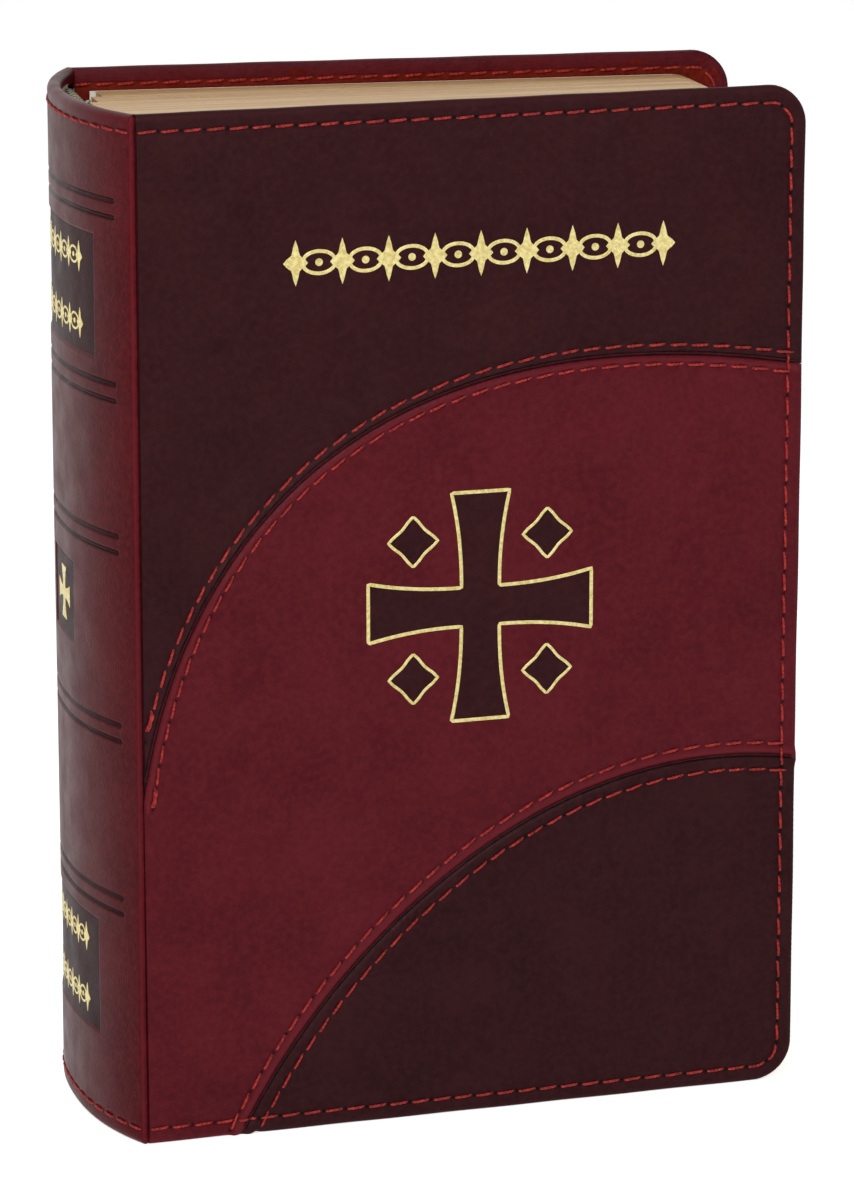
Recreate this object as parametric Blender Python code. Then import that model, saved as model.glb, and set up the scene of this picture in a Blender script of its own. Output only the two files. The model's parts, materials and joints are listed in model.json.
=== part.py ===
"""A thick leather prayer book, closed and standing on its bottom edge.

The frame is +Z up, the front cover faces -Y, the spine is at -X, and the origin is at
the bottom centre of the whole book. Every cover and page section hangs from an empty
on its own vertical hinge axis. Lengths in this file are in millimetres and are turned
into metres when a mesh is made.
"""
import math

import bmesh
import bpy

MM = 0.001
GAP = 0.3

# Driving dimensions of the closed book
HEIGHT = 178.0
COVER_WIDTH = 119.0
SPINE_THICKNESS = 58.5
FORE_THICKNESS = 46.0
SPINE_BULGE = 7.0
CORNER_RADIUS = 7.0

# Layers of a cover, measured inwards from the outer face of the leather
LEATHER = 0.8
BOARD = (1.1, 1.8)
LINING = (2.1, 2.5)
TRIM = (-0.6, -0.3)
BOARD_INSET = 1.5
TURN_IN_WIDTH = 14.0

# Sewing
STITCH_INSET = 2.9
THREAD_WIDTH = 0.5
SEAM_ROW_OFFSET = {"upper": 1.7, "lower": 2.4}
WELT_WIDTH = 1.4

# Pages
PAGE_BOTTOM = 4.0
PAGE_TOP = 174.0
PAGE_FORE = 114.0
PAGE_CORNER = 6.0
SECTIONS_PER_SIDE = 4
SECTION_SPINE_STEP = (5.0, 3.0, 1.5, 0.5)
FLYLEAF_SPINE = 4.0
FLYLEAF_THICKNESS = 0.3

# Gold and dark decoration on the front cover
EMBLEM_CENTRE = (60.5, 91.0)
EMBLEM_REACH = 20.0
CROSS_ARM = (3.4, 5.2)
LOZENGE_REACH = 3.6
FOIL_WIDTH = 0.5
ORNAMENT_X = (24.0, 97.0)
ORNAMENT_Z = 152.0

# Labels on the spine: bottom, top, half width
LABEL_FOIL_WIDTH = 0.6
SPINE_LABELS = {
    "upper": (136.0, 157.0, 18.0),
    "middle": (84.5, 98.5, 8.0),
    "lower": (17.0, 37.5, 17.0),
}

TAPER = math.atan2((SPINE_THICKNESS - FORE_THICKNESS) / 2, COVER_WIDTH)
HALF_SPINE = SPINE_THICKNESS / 2
OUTER_BULGE = SPINE_BULGE - TRIM[0]
COVER_RUN = COVER_WIDTH * math.cos(TAPER)
HINGE_X = (OUTER_BULGE - COVER_RUN) / 2
SPINE_RADIUS = (HALF_SPINE ** 2 + SPINE_BULGE ** 2) / (2 * SPINE_BULGE)
SPINE_CENTRE_X = HINGE_X - SPINE_BULGE + SPINE_RADIUS

# Seams on the front cover as Bezier curves, from the hinge or bottom edge to the fore-edge
UPPER_SEAM = ((0.8, 60.0), (7.0, 107.0), (42.0, 144.5), (119.0, 129.5))
LOWER_SEAM = ((17.6, 0.0), (31.5, 28.0), (70.0, 68.5), (119.0, 59.0))

COLOURS = {
    "red_leather": ((0.105, 0.012, 0.018), 0.5, 0.0),
    "dark_leather": ((0.040, 0.012, 0.015), 0.5, 0.0),
    "spine_leather": ((0.10, 0.010, 0.016), 0.4, 0.0),
    "board": ((0.45, 0.42, 0.36), 0.9, 0.0),
    "cloth": ((0.62, 0.58, 0.50), 0.9, 0.0),
    "paper": ((0.80, 0.77, 0.68), 0.8, 0.0),
    "gilt_pages": ((0.40, 0.26, 0.13), 0.45, 0.3),
    "thread": ((0.40, 0.016, 0.016), 0.6, 0.0),
    "gold_foil": ((0.72, 0.55, 0.22), 0.25, 1.0),
    "headband": ((0.55, 0.40, 0.12), 0.6, 0.0),
}


def clear_scene():
    for item in list(bpy.data.objects):
        bpy.data.objects.remove(item, do_unlink=True)


def make_materials():
    made = {}
    for name, (colour, roughness, metallic) in COLOURS.items():
        material = bpy.data.materials.new(name)
        material.use_nodes = True
        shader = material.node_tree.nodes["Principled BSDF"]
        shader.inputs["Base Color"].default_value = (*colour, 1.0)
        shader.inputs["Roughness"].default_value = roughness
        shader.inputs["Metallic"].default_value = metallic
        made[name] = material
    return made


def make_pivot(name, x, y, turn=0.0):
    """An empty on a vertical hinge axis, turned so its X runs along the cover."""
    pivot = bpy.data.objects.new(name, None)
    pivot.location = (x * MM, y * MM, 0.0)
    pivot.rotation_euler = (0.0, 0.0, turn)
    bpy.context.collection.objects.link(pivot)
    return pivot


def solid_from_loops(name, lower, upper, material, parent=None):
    """Close a solid between two matching point loops."""
    mesh_data = bmesh.new()
    low = [mesh_data.verts.new([c * MM for c in point]) for point in lower]
    high = [mesh_data.verts.new([c * MM for c in point]) for point in upper]
    count = len(low)
    for i in range(count):
        j = (i + 1) % count
        mesh_data.faces.new((low[i], low[j], high[j], high[i]))
    mesh_data.faces.new(low)
    mesh_data.faces.new(high)
    return finish_solid(name, mesh_data, material, parent)


def finish_solid(name, mesh_data, material, parent):
    bmesh.ops.recalc_face_normals(mesh_data, faces=mesh_data.faces)
    mesh = bpy.data.meshes.new(name)
    mesh_data.to_mesh(mesh)
    mesh_data.free()
    mesh.materials.append(material)
    item = bpy.data.objects.new(name, mesh)
    item.parent = parent
    bpy.context.collection.objects.link(item)
    return item


def cover_point(u, depth, z, side):
    """A point in a cover's own frame: along it, inwards from its outer face, and up."""
    return (u, -side * depth, z)


def cover_plate(name, outline, layer, side, material, parent):
    near = [cover_point(u, layer[0], z, side) for u, z in outline]
    far = [cover_point(u, layer[1], z, side) for u, z in outline]
    return solid_from_loops(name, near, far, material, parent)


def offset_path(path, distance, closed=False):
    """The path moved to its left by a distance, with mitred corners."""
    moved = []
    count = len(path)
    for i in range(count):
        before = path[i - 1] if closed or i > 0 else path[i]
        after = path[(i + 1) % count] if closed or i < count - 1 else path[i]
        normals = []
        for a, b in ((before, path[i]), (path[i], after)):
            length = math.dist(a, b)
            if length > 0:
                normals.append(((a[1] - b[1]) / length, (b[0] - a[0]) / length))
        nx = sum(n[0] for n in normals) / len(normals)
        nz = sum(n[1] for n in normals) / len(normals)
        scale = distance / (nx * nx + nz * nz)
        moved.append((path[i][0] + nx * scale, path[i][1] + nz * scale))
    return moved


def close_tube(mesh_data, loops):
    """Join four matching closed loops into a tube with a four-sided section."""
    count = len(loops[0])
    for k in range(4):
        first, second = loops[k], loops[(k + 1) % 4]
        for i in range(count):
            j = (i + 1) % count
            mesh_data.faces.new((first[i], first[j], second[j], second[i]))


def cover_ribbon(name, path, width, layer, side, material, parent, closed=False):
    """A flat ribbon that follows a path on a cover."""
    left = offset_path(path, width / 2, closed)
    right = offset_path(path, -width / 2, closed)
    if not closed:
        return cover_plate(name, left + right[::-1], layer, side, material, parent)
    mesh_data = bmesh.new()
    rows = []
    for row, depth in ((left, layer[0]), (left, layer[1]), (right, layer[1]), (right, layer[0])):
        rows.append([mesh_data.verts.new([c * MM for c in cover_point(u, depth, z, side)])
                     for u, z in row])
    close_tube(mesh_data, rows)
    return finish_solid(name, mesh_data, material, parent)


def arc(centre, radius, start, end, steps):
    """Points on an arc between two angles in degrees."""
    points = []
    for i in range(steps + 1):
        angle = math.radians(start + (end - start) * i / steps)
        points.append((centre[0] + radius * math.cos(angle), centre[1] + radius * math.sin(angle)))
    return points


def bezier(curve, start=0.0, end=1.0, steps=24):
    points = []
    for i in range(steps + 1):
        t = start + (end - start) * i / steps
        weights = ((1 - t) ** 3, 3 * t * (1 - t) ** 2, 3 * t * t * (1 - t), t ** 3)
        points.append(tuple(sum(w * p[k] for w, p in zip(weights, curve)) for k in (0, 1)))
    return points


def rounded_sheet(x0, x1, z0, z1, radius):
    """A rectangle with its two fore-edge corners rounded."""
    lower = arc((x1 - radius, z0 + radius), radius, -90, 0, 6)
    upper = arc((x1 - radius, z1 - radius), radius, 0, 90, 6)
    return [(x0, z0)] + lower + upper + [(x0, z1)]


def clip_path(path, keep):
    return [point for point in path if keep(point)]


def on_board(path):
    """The path with its ends cut flush with the bottom and the fore-edge of the cover."""
    return [(min(u, COVER_WIDTH), max(z, 0.0)) for u, z in path]


def front_panels(materials, parent):
    """Two dark corner panels and the red panel between them, edge to edge at the seams."""
    half = GAP / 2
    corner_top = arc((COVER_WIDTH - CORNER_RADIUS, HEIGHT - CORNER_RADIUS), CORNER_RADIUS, 0, 90, 6)
    corner_low = arc((COVER_WIDTH - CORNER_RADIUS, CORNER_RADIUS), CORNER_RADIUS, -90, 0, 6)
    upper = bezier(UPPER_SEAM)
    lower = bezier(LOWER_SEAM)
    spine_edge = [(0.0, 0.0), (0.0, UPPER_SEAM[0][1] - half)]
    outlines = {
        "upper": [(UPPER_SEAM[0][0], HEIGHT)] + offset_path(upper, half) + corner_top,
        "centre": spine_edge + offset_path(upper, -half) + offset_path(lower, half)[::-1],
        "lower": offset_path(lower, -half)[::-1] + corner_low,
    }
    for name, outline in outlines.items():
        leather = materials["red_leather" if name == "centre" else "dark_leather"]
        cover_plate(f"front_{name}_panel", on_board(outline), (0.0, LEATHER), -1, leather, parent)


def cover_inside(name, side, materials, parent):
    """The board, the turned-in leather around three edges and the lining paper."""
    inset = BOARD_INSET
    radius = CORNER_RADIUS - inset
    far_u = COVER_WIDTH - inset
    top = HEIGHT - inset
    board = rounded_sheet(inset, far_u, inset, top, radius)
    outer = rounded_sheet(inset, far_u, inset, top, radius)
    width = TURN_IN_WIDTH
    inner = rounded_sheet(inset, far_u - width, inset + width, top - width, 3.0)
    paper = rounded_sheet(inset, far_u - width - GAP, inset + width + GAP, top - width - GAP, 3.0)
    cover_plate(name + "_board", board, BOARD, side, materials["board"], parent)
    cover_plate(name + "_turn_in", outer + inner[::-1], LINING, side, materials["red_leather"], parent)
    cover_plate(name + "_pastedown", paper, LINING, side, materials["paper"], parent)


def edge_thread(name, side, materials, parent):
    """One row of sewing along the top, the fore-edge and the bottom of a cover."""
    inset = STITCH_INSET
    path = rounded_sheet(inset, COVER_WIDTH - inset, inset, HEIGHT - inset, CORNER_RADIUS - inset)
    cover_ribbon(name, path, THREAD_WIDTH, TRIM, side, materials["thread"], parent)


def seam_sewing(name, seam, materials, parent):
    """A raised welt on a seam with a row of sewing on each side of it."""
    limit_u = COVER_WIDTH - STITCH_INSET - 0.8
    limit_z = STITCH_INSET + 0.8
    offset = SEAM_ROW_OFFSET[name]
    curve = bezier(seam, 0.03, 1.0, 30)

    def on_cover(point):
        return point[0] < limit_u and point[1] > limit_z and point[0] > 1.2

    rows = {"outer": offset, "inner": -offset}
    for row, distance in rows.items():
        path = clip_path(offset_path(curve, distance), on_cover)
        cover_ribbon(f"{name}_seam_{row}_thread", path, THREAD_WIDTH, TRIM, -1, materials["thread"], parent)
    welt = clip_path(curve, on_cover)
    cover_ribbon(name + "_seam_welt", welt, WELT_WIDTH, TRIM, -1, materials["red_leather"], parent)


def flared_cross(reach, waist, flare):
    """A plain cross whose four arms widen towards their ends."""
    quarter = []
    steps = 5
    for i in range(steps + 1):
        t = i / steps
        out = reach + (waist - reach) * t
        half = waist + (flare - waist) * (1 - t) ** 2
        quarter.append((out, half))
    mirrored = [(half, out) for out, half in quarter[-2::-1]]
    points = []
    for turn in range(4):
        c, s = ((1, 0), (0, 1), (-1, 0), (0, -1))[turn]
        for x, z in quarter + mirrored:
            points.append((x * c - z * s, x * s + z * c))
    return points


def shifted(points, centre):
    return [(x + centre[0], z + centre[1]) for x, z in points]


def emblem(materials, parent):
    """A generic flared cross with a small lozenge in each quarter, outlined in gold."""
    edge = FOIL_WIDTH / 2 + 0.2
    waist, flare = CROSS_ARM
    cross = shifted(flared_cross(EMBLEM_REACH, waist, flare), EMBLEM_CENTRE)
    inlay = shifted(flared_cross(EMBLEM_REACH - edge, waist - edge, flare - edge), EMBLEM_CENTRE)
    cover_plate("emblem_cross_inlay", inlay, TRIM, -1, materials["dark_leather"], parent)
    cover_ribbon("emblem_cross_foil", cross, FOIL_WIDTH, TRIM, -1, materials["gold_foil"], parent, True)
    quarter = EMBLEM_REACH * 0.6
    for index, (sx, sz) in enumerate(((1, 1), (-1, 1), (-1, -1), (1, -1)), start=1):
        centre = (EMBLEM_CENTRE[0] + sx * quarter, EMBLEM_CENTRE[1] + sz * quarter)
        lozenge = arc(centre, LOZENGE_REACH, 0, 270, 3)
        core = arc(centre, LOZENGE_REACH - 0.6, 0, 270, 3)
        cover_plate(f"emblem_lozenge_{index}", core, TRIM, -1, materials["dark_leather"], parent)
        cover_ribbon(f"emblem_lozenge_foil_{index}", lozenge, FOIL_WIDTH * 0.7, TRIM, -1,
                     materials["gold_foil"], parent, True)


def title_ornament(materials, parent):
    """A plain gold rule with a row of lozenges where a title would be."""
    count = 9
    pitch = (ORNAMENT_X[1] - ORNAMENT_X[0]) / count
    upper = []
    for i in range(count):
        x = ORNAMENT_X[0] + pitch * i
        upper += [(x, 0.3), (x + pitch * 0.3, 0.3), (x + pitch * 0.5, 3.3), (x + pitch * 0.7, 0.3)]
    upper.append((ORNAMENT_X[1], 0.3))
    lower = [(x, -z) for x, z in reversed(upper)]
    outline = shifted(upper + lower, (0.0, ORNAMENT_Z))
    cover_plate("title_ornament_foil", outline, TRIM, -1, materials["gold_foil"], parent)


def spine_arc(depth, half_width, steps=12):
    """Points across the rounded spine at a depth under its outer face."""
    radius = SPINE_RADIUS - depth
    points = []
    for i in range(steps + 1):
        y = half_width * (2 * i / steps - 1)
        points.append((SPINE_CENTRE_X - math.sqrt(radius * radius - y * y), y))
    return points


def spine_plate(name, layer, half_width, z_range, material, steps=12):
    """A curved plate of the spine between two depths."""
    outer = spine_arc(layer[0], half_width, steps)
    inner = spine_arc(layer[1], half_width, steps)
    section = outer + inner[::-1]
    low = [(x, y, z_range[0]) for x, y in section]
    high = [(x, y, z_range[1]) for x, y in section]
    return solid_from_loops(name, low, high, material)


def half_width_at(depth, x):
    """How far from the middle a spine layer reaches before it passes x."""
    radius = SPINE_RADIUS - depth
    return math.sqrt(radius * radius - (SPINE_CENTRE_X - x) ** 2)


def spine_parts(materials):
    limit = HINGE_X - GAP
    outer = spine_arc(0.0, half_width_at(0.0, limit), 16)
    inner = spine_arc(1.0, half_width_at(1.0, limit), 16)
    section = outer + inner[::-1]
    low = [(x, y, 0.0) for x, y in section]
    high = [(x, y, HEIGHT) for x, y in section]
    solid_from_loops("spine_cover", low, high, materials["spine_leather"])
    spine_plate("spine_card", (1.4, 2.4), 22.0, (2.0, HEIGHT - 2.0), materials["board"])
    spine_plate("spine_lining", (5.4, 6.0), 22.5, (PAGE_BOTTOM + 1, PAGE_TOP - 1), materials["cloth"])
    spine_plate("headband_top", (3.2, 5.2), 20.0, (PAGE_TOP - 2, PAGE_TOP + 1.5), materials["headband"])
    spine_plate("headband_bottom", (3.2, 5.2), 20.0, (PAGE_BOTTOM - 1.5, PAGE_BOTTOM + 2),
                materials["headband"])
    for name, z in (("top", HEIGHT - STITCH_INSET), ("bottom", STITCH_INSET)):
        height = (z - THREAD_WIDTH / 2, z + THREAD_WIDTH / 2)
        spine_plate("spine_thread_" + name, TRIM, 24.0, height, materials["thread"])
    for name, (z0, z1, half) in SPINE_LABELS.items():
        spine_label(name, z0, z1, half, materials)


def spine_label(name, z0, z1, half, materials):
    """A dark label with a line of gold foil around it."""
    margin = LABEL_FOIL_WIDTH + GAP
    height = (z0 + margin, z1 - margin)
    spine_plate(name + "_spine_label", TRIM, half - margin, height, materials["dark_leather"])
    mesh_data = bmesh.new()
    loops = []
    for depth in TRIM:
        for inset in (0.0, LABEL_FOIL_WIDTH):
            arc_points = spine_arc(depth, half - inset, 8)
            low = [(x, y, z0 + inset) for x, y in arc_points]
            high = [(x, y, z1 - inset) for x, y in arc_points]
            loop = low + high[::-1]
            loops.append([mesh_data.verts.new([c * MM for c in point]) for point in loop])
    close_tube(mesh_data, (loops[0], loops[1], loops[3], loops[2]))
    finish_solid(name + "_spine_label_foil", mesh_data, materials["gold_foil"], None)


def page_parts(side, materials):
    """A flyleaf and four page sections, each on its own vertical axis at the spine."""
    name = "front" if side < 0 else "back"
    outer_depth = LINING[1] + GAP
    fly_x = HINGE_X + FLYLEAF_SPINE
    fly_y = HALF_SPINE - outer_depth - FLYLEAF_SPINE * math.tan(TAPER)
    pivot = make_pivot(name + "_flyleaf_axis", fly_x, side * fly_y, -side * TAPER)
    sheet = rounded_sheet(0.0, PAGE_FORE - FLYLEAF_SPINE, PAGE_BOTTOM, PAGE_TOP, PAGE_CORNER)
    cover_plate(name + "_flyleaf", sheet, (0.0, FLYLEAF_THICKNESS), side, materials["paper"], pivot)
    block_near = fly_y - FLYLEAF_THICKNESS - GAP
    block_far = block_near - (PAGE_FORE - FLYLEAF_SPINE) * math.tan(TAPER)
    for index in range(SECTIONS_PER_SIDE):
        start = HINGE_X + SECTION_SPINE_STEP[index]
        share = 1 - index / SECTIONS_PER_SIDE
        next_share = 1 - (index + 1) / SECTIONS_PER_SIDE
        pivot = make_pivot(f"{name}_section_{index + 1}_axis", start, side * block_near * share)
        length = HINGE_X + PAGE_FORE - start
        outline = rounded_sheet(0.0, length, PAGE_BOTTOM, PAGE_TOP, PAGE_CORNER)
        space = GAP if next_share else GAP / 2
        near = []
        far = []
        for u, z in outline:
            half_block = block_near + (block_far - block_near) * u / length
            near.append((u, side * (half_block - block_near) * share, z))
            far.append((u, side * (half_block * next_share + space - block_near * share), z))
        number = index + 1 if side < 0 else 2 * SECTIONS_PER_SIDE - index
        solid_from_loops(f"page_section_{number}", near, far, materials["gilt_pages"], pivot)


def build():
    clear_scene()
    materials = make_materials()
    spine_parts(materials)
    front = make_pivot("front_cover_axis", HINGE_X, -HALF_SPINE, TAPER)
    back = make_pivot("back_cover_axis", HINGE_X, HALF_SPINE, -TAPER)
    front_panels(materials, front)
    back_outline = rounded_sheet(0.0, COVER_WIDTH, 0.0, HEIGHT, CORNER_RADIUS)
    cover_plate("back_panel", back_outline, (0.0, LEATHER), 1, materials["red_leather"], back)
    for name, side, parent in (("front", -1, front), ("back", 1, back)):
        cover_inside(name, side, materials, parent)
        edge_thread(name + "_edge_thread", side, materials, parent)
        page_parts(side, materials)
    for name, seam in (("upper", UPPER_SEAM), ("lower", LOWER_SEAM)):
        seam_sewing(name, seam, materials, front)
    emblem(materials, front)
    title_ornament(materials, front)


build()
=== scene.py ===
"""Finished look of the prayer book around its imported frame: leather, sewing, foil, pages."""
import json
import math

import bmesh
import bpy
import numpy as np
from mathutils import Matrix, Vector
from mathutils.geometry import delaunay_2d_cdt


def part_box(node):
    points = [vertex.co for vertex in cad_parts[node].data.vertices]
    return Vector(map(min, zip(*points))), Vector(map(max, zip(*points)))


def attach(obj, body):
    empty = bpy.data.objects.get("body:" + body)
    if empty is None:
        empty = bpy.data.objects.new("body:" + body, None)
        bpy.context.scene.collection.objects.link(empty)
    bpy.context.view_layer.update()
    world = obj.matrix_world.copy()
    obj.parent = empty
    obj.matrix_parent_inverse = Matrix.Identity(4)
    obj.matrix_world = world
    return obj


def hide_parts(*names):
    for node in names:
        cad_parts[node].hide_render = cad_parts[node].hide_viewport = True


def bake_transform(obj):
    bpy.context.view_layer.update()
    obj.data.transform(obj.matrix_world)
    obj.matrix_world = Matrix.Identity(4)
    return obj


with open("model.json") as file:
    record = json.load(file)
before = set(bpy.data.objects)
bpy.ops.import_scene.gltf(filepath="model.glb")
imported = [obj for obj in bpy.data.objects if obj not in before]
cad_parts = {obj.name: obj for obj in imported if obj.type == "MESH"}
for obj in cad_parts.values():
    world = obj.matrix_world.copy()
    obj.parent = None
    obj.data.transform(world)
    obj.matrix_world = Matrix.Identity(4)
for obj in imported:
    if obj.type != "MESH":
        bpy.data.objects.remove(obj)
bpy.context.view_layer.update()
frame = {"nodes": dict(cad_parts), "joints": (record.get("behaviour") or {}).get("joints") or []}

MM = 0.001

# The book's own sizes in millimetres, as the frame holds them
JOINTS = {joint["name"]: joint for joint in frame["joints"]}
HINGE_X, BACK_HINGE_Y = (c / MM for c in JOINTS["back_cover_hinge"]["pos_m"][:2])
HALF_SPINE = BACK_HINGE_Y
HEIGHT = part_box("back_panel")[1][2] / MM
COVER_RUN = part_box("back_panel")[1][0] / MM - HINGE_X
COVER_WIDTH = 119.0
TAPER = math.acos(COVER_RUN / COVER_WIDTH)
CORNER = 7.0
EDGE = 1.25
COVER_THICKNESS = 2 * EDGE
SPINE_BULGE = HINGE_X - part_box("spine_cover")[0][0] / MM
SPINE_CURVE = 2.3
SHOULDER = 4.2
LAP = 0.9
LEATHER = 0.6
SPINE_LEATHER = 0.7
TURNED_IN_WIDTH = 14.0
SECTION_COUNT = 8
PAGE_EASE = 0.12
SHARP_ANGLE = math.radians(40)

# Sewing
STITCH_PITCH = 3.9
STITCH_LENGTH = 3.3
THREAD_RADIUS = 0.23
STITCH_INSET = 2.9
ROW_OFFSET = {"upper": 1.7, "lower": 2.4}

# Seams of the front cover, as Bezier curves in the cover's own frame
SEAMS = {
    "upper": ((0.8, 60.0), (7.0, 107.0), (42.0, 144.5), (119.0, 129.5)),
    "lower": ((17.6, 0.0), (31.5, 28.0), (70.0, 68.5), (119.0, 59.0)),
}

# View: angles, distance and the point looked at, measured from the front hinge
VIEW_YAW = math.radians(-17.5)
VIEW_PITCH = math.radians(13.9)
VIEW_DISTANCE = 914.0
VIEW_TARGET = (57.9, 22.0, 87.0)
SENSOR_WIDTH = 36.0
LENS_RATIO = 5235.0 / 1200.0

# Decoration
EMBLEM_CENTRE = (60.5, 91.0)
EMBLEM_REACH = 20.0
ORNAMENT_X = (24.0, 97.0)
ORNAMENT_Z = 152.0
SPINE_BANDS = (161.8, 130.9, 105.0, 72.2, 41.7)
BAND_GAP = 2.8
BAND_REACH = 25.3
SPINE_LABELS = {
    "upper": (136.0, 157.0, 18.8),
    "middle": (84.5, 98.5, 8.0),
    "lower": (17.0, 37.5, 17.0),
}


# ---------------------------------------------------------------- materials

def new_material(name, base, roughness, metallic=0.0):
    material = bpy.data.materials.new(name)
    material.use_nodes = True
    shader = material.node_tree.nodes["Principled BSDF"]
    shader.inputs["Base Color"].default_value = (*base, 1.0)
    shader.inputs["Roughness"].default_value = roughness
    shader.inputs["Metallic"].default_value = metallic
    return material, material.node_tree, shader


def add(tree, kind, **values):
    node = tree.nodes.new(kind)
    for key, value in values.items():
        if key in node.inputs:
            node.inputs[key].default_value = value
        else:
            setattr(node, key, value)
    return node


def scaled_position(tree, scale):
    """Object coordinates multiplied along each axis."""
    place = add(tree, "ShaderNodeTexCoord")
    mapping = add(tree, "ShaderNodeMapping", Scale=scale)
    tree.links.new(place.outputs["Object"], mapping.inputs["Vector"])
    return mapping.outputs["Vector"]


def noise(tree, scale, detail=3.0, roughness=0.55, vector=None):
    node = add(tree, "ShaderNodeTexNoise", Scale=scale, Detail=detail, Roughness=roughness)
    if vector is None:
        vector = scaled_position(tree, (1.0, 1.0, 1.0))
    tree.links.new(vector, node.inputs["Vector"])
    return node.outputs["Fac"]


def spread(tree, value, low, high, to_low=0.0, to_high=1.0):
    """Stretch a value from one range to another, held at the ends."""
    node = add(tree, "ShaderNodeMapRange")
    for key, number in (("From Min", low), ("From Max", high), ("To Min", to_low), ("To Max", to_high)):
        node.inputs[key].default_value = number
    tree.links.new(value, node.inputs["Value"])
    return node.outputs["Result"]


def mix_colour(tree, factor, first, second):
    node = add(tree, "ShaderNodeMix", data_type="RGBA")
    for socket, value in ((6, first), (7, second)):
        if isinstance(value, tuple):
            node.inputs[socket].default_value = (*value, 1.0)
        else:
            tree.links.new(value, node.inputs[socket])
    tree.links.new(factor, node.inputs[0])
    return node.outputs[2]


def add_bump(tree, shader, height, distance, strength=1.0):
    bump = add(tree, "ShaderNodeBump", Strength=strength, Distance=distance)
    tree.links.new(height, bump.inputs["Height"])
    old = shader.inputs["Normal"].links
    if old:
        tree.links.new(old[0].from_socket, bump.inputs["Normal"])
    tree.links.new(bump.outputs["Normal"], shader.inputs["Normal"])


def attribute(tree, name):
    return add(tree, "ShaderNodeAttribute", attribute_name=name).outputs["Fac"]


def leather(name, dark, base, light, roughness, shine):
    """Satin leather: mottled dye, pores and fine creases, with a painted highlight on raised edges and
    painted shade in needle holes and pressed lines.
    """
    material, tree, shader = new_material(name, base, roughness)
    shader.inputs["Specular IOR Level"].default_value = shine
    mottled = mix_colour(tree, spread(tree, noise(tree, 70.0, 5.0), 0.3, 0.7), dark, base)
    fine = spread(tree, noise(tree, 900.0, 2.0), 0.35, 0.75, 0.0, 0.5)
    dyed = mix_colour(tree, fine, mottled, light)
    # Painted highlight: a lighter colour along the covers' rounded edges, beside the seams and at the
    # spine's corners, head and tail.
    painted_highlight = mix_colour(tree, attribute(tree, "painted_highlight"), dyed, light)
    # Painted shade: a near-black colour in the needle holes and in the spine's pressed band lines.
    recess_shade = mix_colour(tree, attribute(tree, "painted_shade"), painted_highlight, tuple(c * 0.15 for c in dark))
    tree.links.new(recess_shade, shader.inputs["Base Color"])
    gloss = spread(tree, noise(tree, 160.0, 4.0), 0.3, 0.7, roughness - 0.07, roughness + 0.08)
    tree.links.new(gloss, shader.inputs["Roughness"])
    cells = add(tree, "ShaderNodeTexVoronoi", Scale=1500.0, feature="DISTANCE_TO_EDGE")
    tree.links.new(scaled_position(tree, (1.0, 1.0, 1.0)), cells.inputs["Vector"])
    add_bump(tree, shader, spread(tree, cells.outputs["Distance"], 0.0, 0.25), 0.00003, 0.5)
    add_bump(tree, shader, noise(tree, 260.0, 5.0), 0.00012, 0.5)
    return material


def thread_material():
    material, tree, shader = new_material("thread", (0.34, 0.015, 0.015), 0.55)
    shader.inputs["Specular IOR Level"].default_value = 0.3
    colour = mix_colour(tree, spread(tree, noise(tree, 1800.0), 0.3, 0.7), (0.13, 0.006, 0.008),
                        (0.50, 0.034, 0.026))
    tree.links.new(colour, shader.inputs["Base Color"])
    twist = add(tree, "ShaderNodeTexWave", Scale=900.0, Distortion=1.0, bands_direction="DIAGONAL")
    tree.links.new(scaled_position(tree, (1.0, 1.0, 1.0)), twist.inputs["Vector"])
    add_bump(tree, shader, twist.outputs["Fac"], 0.00012, 1.0)
    return material


def foil_material():
    material, tree, shader = new_material("gold_foil", (0.84, 0.70, 0.28), 0.35, 0.25)
    colour = mix_colour(tree, spread(tree, noise(tree, 1500.0, 4.0), 0.35, 0.65), (0.70, 0.54, 0.17),
                        (0.94, 0.82, 0.38))
    tree.links.new(colour, shader.inputs["Base Color"])
    gloss = spread(tree, noise(tree, 500.0), 0.3, 0.7, 0.25, 0.5)
    tree.links.new(gloss, shader.inputs["Roughness"])
    add_bump(tree, shader, noise(tree, 1100.0), 0.00005, 0.6)
    return material


def gilt_material():
    """Page edges: thin leaves side by side along Y under a dull, scuffed gilding."""
    material, tree, shader = new_material("gilt_edges", (0.40, 0.26, 0.12), 0.42, 0.25)
    leaves = noise(tree, 1.0, 4.0, 0.7, scaled_position(tree, (25.0, 5200.0, 25.0)))
    sheets = noise(tree, 1.0, 2.0, 0.5, scaled_position(tree, (12.0, 900.0, 12.0)))
    grain = noise(tree, 2600.0, 2.0)
    colour = mix_colour(tree, spread(tree, leaves, 0.35, 0.7), (0.52, 0.288, 0.122), (0.88, 0.570, 0.255))
    colour = mix_colour(tree, spread(tree, sheets, 0.45, 0.75, 0.0, 0.6), colour, (0.95, 0.70, 0.37))
    colour = mix_colour(tree, spread(tree, grain, 0.55, 0.8, 0.0, 0.6), colour, (0.97, 0.82, 0.50))
    tree.links.new(colour, shader.inputs["Base Color"])
    tree.links.new(spread(tree, grain, 0.3, 0.7, 0.3, 0.55), shader.inputs["Roughness"])
    add_bump(tree, shader, leaves, 0.0001, 0.7)
    return material


def paper_material(name, base):
    material, tree, shader = new_material(name, base, 0.8)
    shade = tuple(c * 0.93 for c in base)
    colour = mix_colour(tree, spread(tree, noise(tree, 350.0, 6.0), 0.35, 0.65), shade, base)
    tree.links.new(colour, shader.inputs["Base Color"])
    add_bump(tree, shader, noise(tree, 1500.0, 4.0), 0.00003, 0.5)
    return material


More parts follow.
